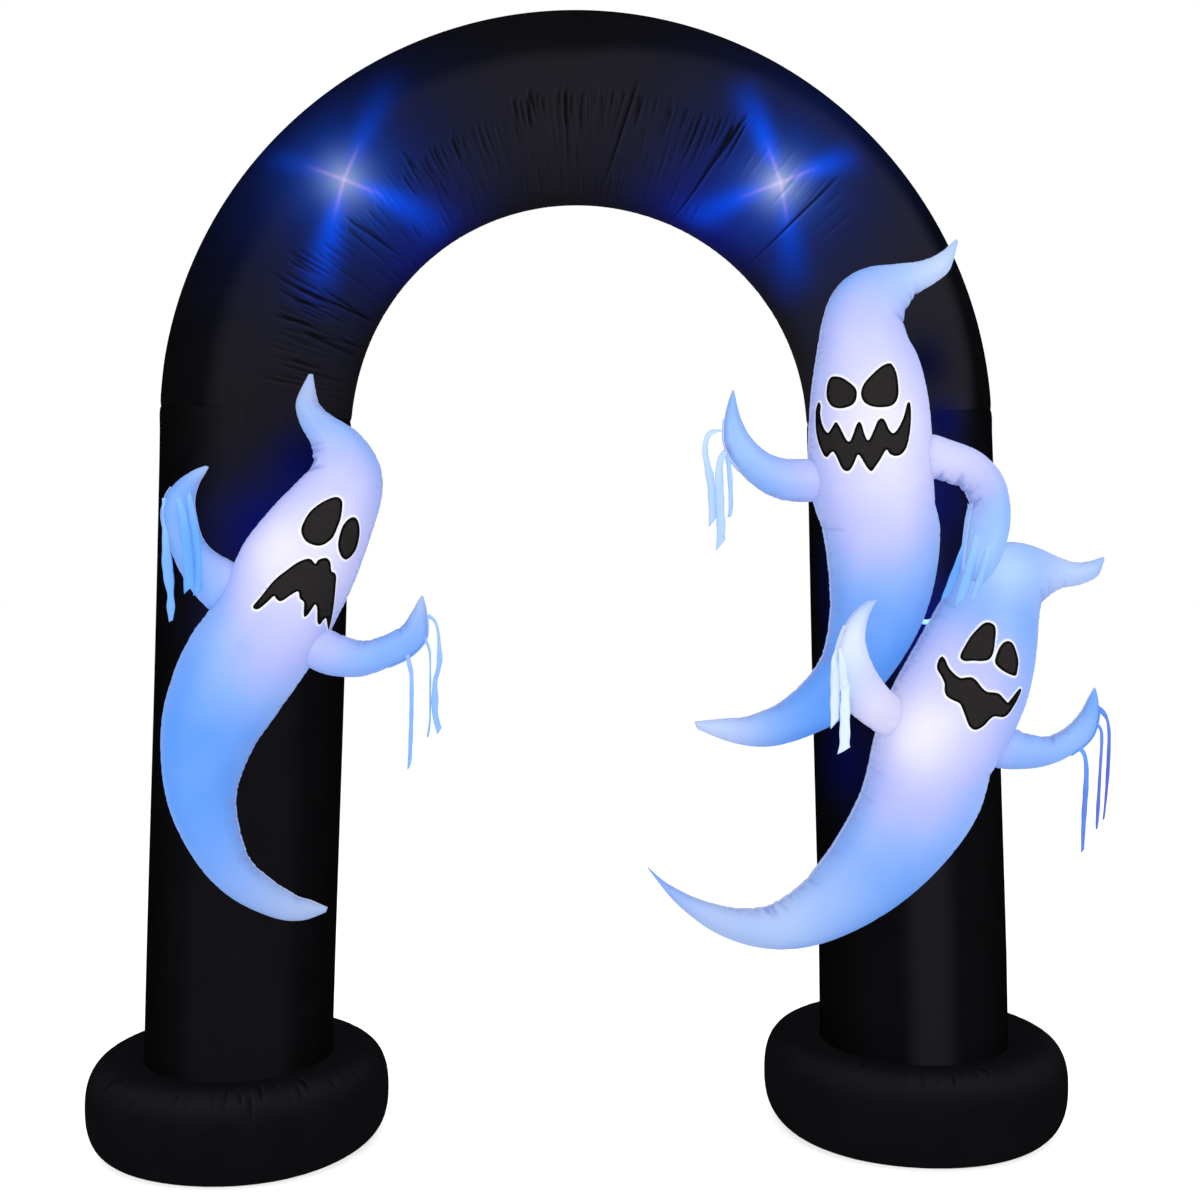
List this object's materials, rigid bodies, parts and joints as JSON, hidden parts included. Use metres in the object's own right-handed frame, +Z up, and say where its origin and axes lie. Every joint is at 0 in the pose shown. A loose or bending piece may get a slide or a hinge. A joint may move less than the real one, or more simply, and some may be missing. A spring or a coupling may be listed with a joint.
{
  "type": "inflatable arch",
  "caption": "Walk-through air-filled arch of black cloth: leg tubes in ring cushions carry a half-round bow, with pale ghosts, their face patches and torn strips on its front.",
  "frame": {"origin": "middle of the whole object's bounding box, on the ground", "axes": "+Z up, +X to the right seen from the front, the front with the ghosts faces -Y"},
  "size_m": [2.4294, 0.8767, 2.74],
  "materials": {
    "black_polyester": "tight black polyester with a soft sheen, inflated",
    "pale_blue_polyester": "thin white polyester, lit pale blue from inside",
    "white_polyester": "limp thin polyester strips",
    "dark_face_cloth": "matt dark cloth"
  },
  "bodies": {
    "root": {"leg_left": "black_polyester", "leg_right": "black_polyester", "bow": "black_polyester", "base_ring_left": "black_polyester", "base_ring_right": "black_polyester", "ghost_left_body": "pale_blue_polyester", "ghost_left_arm_raised": "pale_blue_polyester", "ghost_left_arm_out": "pale_blue_polyester", "ghost_left_eye_1": "dark_face_cloth", "ghost_left_eye_2": "dark_face_cloth", "ghost_left_mouth": "dark_face_cloth", "ghost_left_fringe_raised": "white_polyester", "ghost_left_fringe_out": "white_polyester", "ghost_upper_body": "pale_blue_polyester", "ghost_upper_arm_out": "pale_blue_polyester", "ghost_upper_arm_bent": "pale_blue_polyester", "ghost_upper_eye_1": "dark_face_cloth", "ghost_upper_eye_2": "dark_face_cloth", "ghost_upper_mouth": "dark_face_cloth", "ghost_upper_fringe_out": "white_polyester", "ghost_upper_fringe_bent": "white_polyester", "ghost_lower_body": "pale_blue_polyester", "ghost_lower_arm_raised": "pale_blue_polyester", "ghost_lower_arm_out": "pale_blue_polyester", "ghost_lower_eye_1": "dark_face_cloth", "ghost_lower_eye_2": "dark_face_cloth", "ghost_lower_mouth": "dark_face_cloth", "ghost_lower_fringe_raised": "white_polyester", "ghost_lower_fringe_out": "white_polyester", "tab": "white_polyester", "tie": "white_polyester"}
  },
  "joints": []
}
